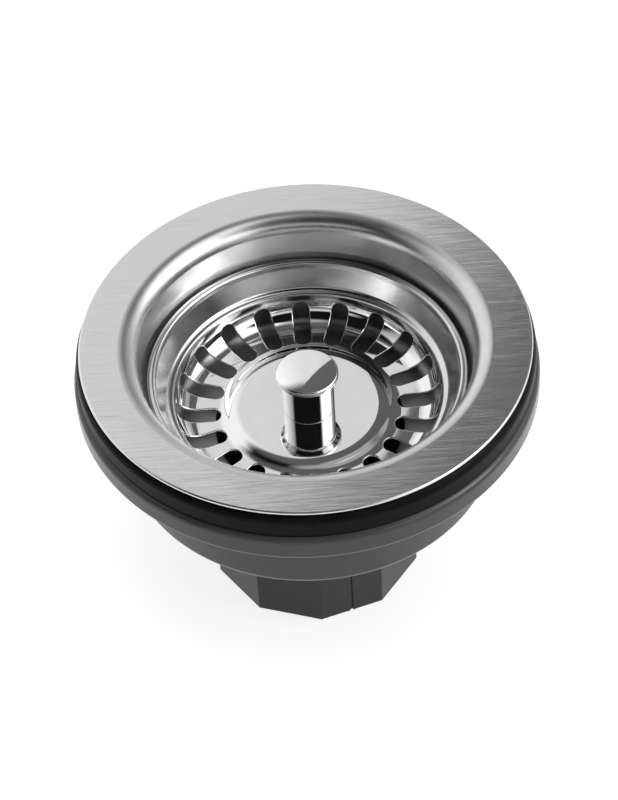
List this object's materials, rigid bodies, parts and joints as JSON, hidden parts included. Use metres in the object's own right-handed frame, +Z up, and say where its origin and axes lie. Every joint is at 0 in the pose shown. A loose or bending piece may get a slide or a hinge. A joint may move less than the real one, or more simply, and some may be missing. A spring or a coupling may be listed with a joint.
{
  "type": "basket strainer waste",
  "caption": "Round sink waste: steel flange and dish, rubber seal, dark plastic body with a threaded outlet and coupling nut, and a lift-out slotted strainer basket with a knob.",
  "frame": {"origin": "on the common axis, at the bottom of the coupling nut", "axes": "+Z up along the axis, from the outlet to the flange; a corner of the nut points along -Y"},
  "size_m": [0.1178, 0.1178, 0.0782],
  "materials": {
    "flange_steel": "satin, straight fine brushing on the flat rim",
    "basket_steel": "bright polished, satin brim",
    "knob_chrome": "mirror",
    "screw_steel": "plain turned",
    "insert_brass": "plain turned",
    "body_plastic": "semi-gloss moulded",
    "nut_plastic": "satin moulded",
    "stem_plastic": "satin moulded",
    "seal_rubber": "smooth moulded",
    "stopper_rubber": "smooth moulded"
  },
  "bodies": {
    "waste": {"sink_flange": "flange_steel", "flange_seal": "seal_rubber", "waste_body": "body_plastic", "coupling_nut": "nut_plastic", "outlet_washer": "seal_rubber", "clamp_screw": "screw_steel", "screw_washer": "seal_rubber", "thread_insert": "insert_brass"},
    "strainer": {"basket": "basket_steel", "knob": "knob_chrome", "stem": "stem_plastic", "stopper": "stopper_rubber"}
  },
  "joints": [
    {"name": "basket_lift", "type": "slide", "parent": "waste", "child": "strainer", "axis": [0, 0, 1], "range_m": [0, 0.052]}
  ]
}
